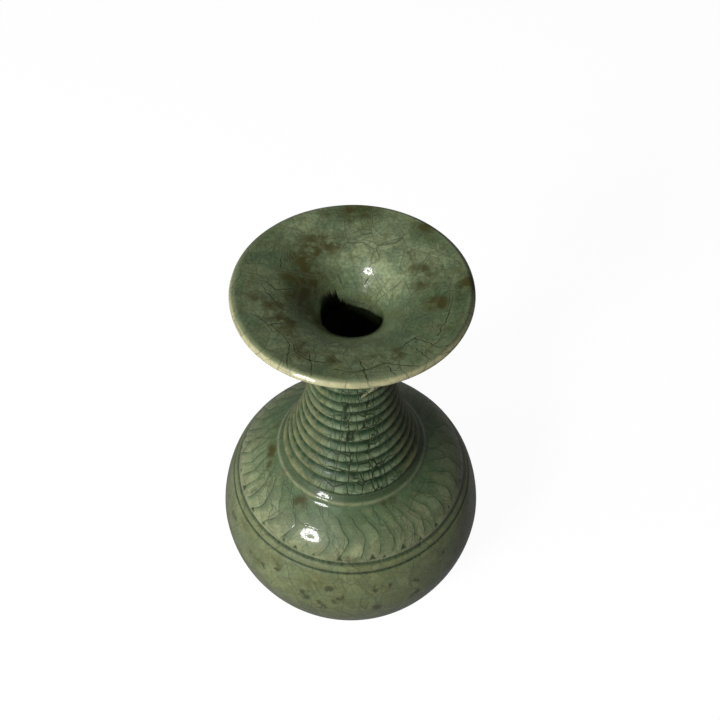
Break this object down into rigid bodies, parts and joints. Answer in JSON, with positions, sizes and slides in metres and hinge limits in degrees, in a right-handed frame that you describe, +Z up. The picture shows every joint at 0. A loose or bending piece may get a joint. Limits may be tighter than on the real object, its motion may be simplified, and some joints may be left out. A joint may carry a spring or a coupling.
{
  "type": "bottle vase",
  "caption": "Crackle-glazed celadon bottle vase with a wide trumpet mouth, a ribbed neck, a collar ridge and a round belly on a foot ring.",
  "frame": {"origin": "middle of the foot ring's flat underside, on the surface that the vase stands on", "axes": "+Z up along the vase's own axis, through the middle of the mouth; the vase is turned, so X and Y are free"},
  "size_m": [0.1236, 0.1236, 0.203],
  "materials": {
    "celadon_glaze": "gloss",
    "bare_clay": "matte",
    "slip": "matte"
  },
  "bodies": {
    "root": {"foot_ring": "bare_clay", "foot_luting": "slip", "lower_body": "celadon_glaze", "belly_luting": "slip", "shoulder": "celadon_glaze", "neck_luting": "slip", "neck": "celadon_glaze", "mouth_luting": "slip", "mouth": "celadon_glaze"}
  },
  "joints": []
}
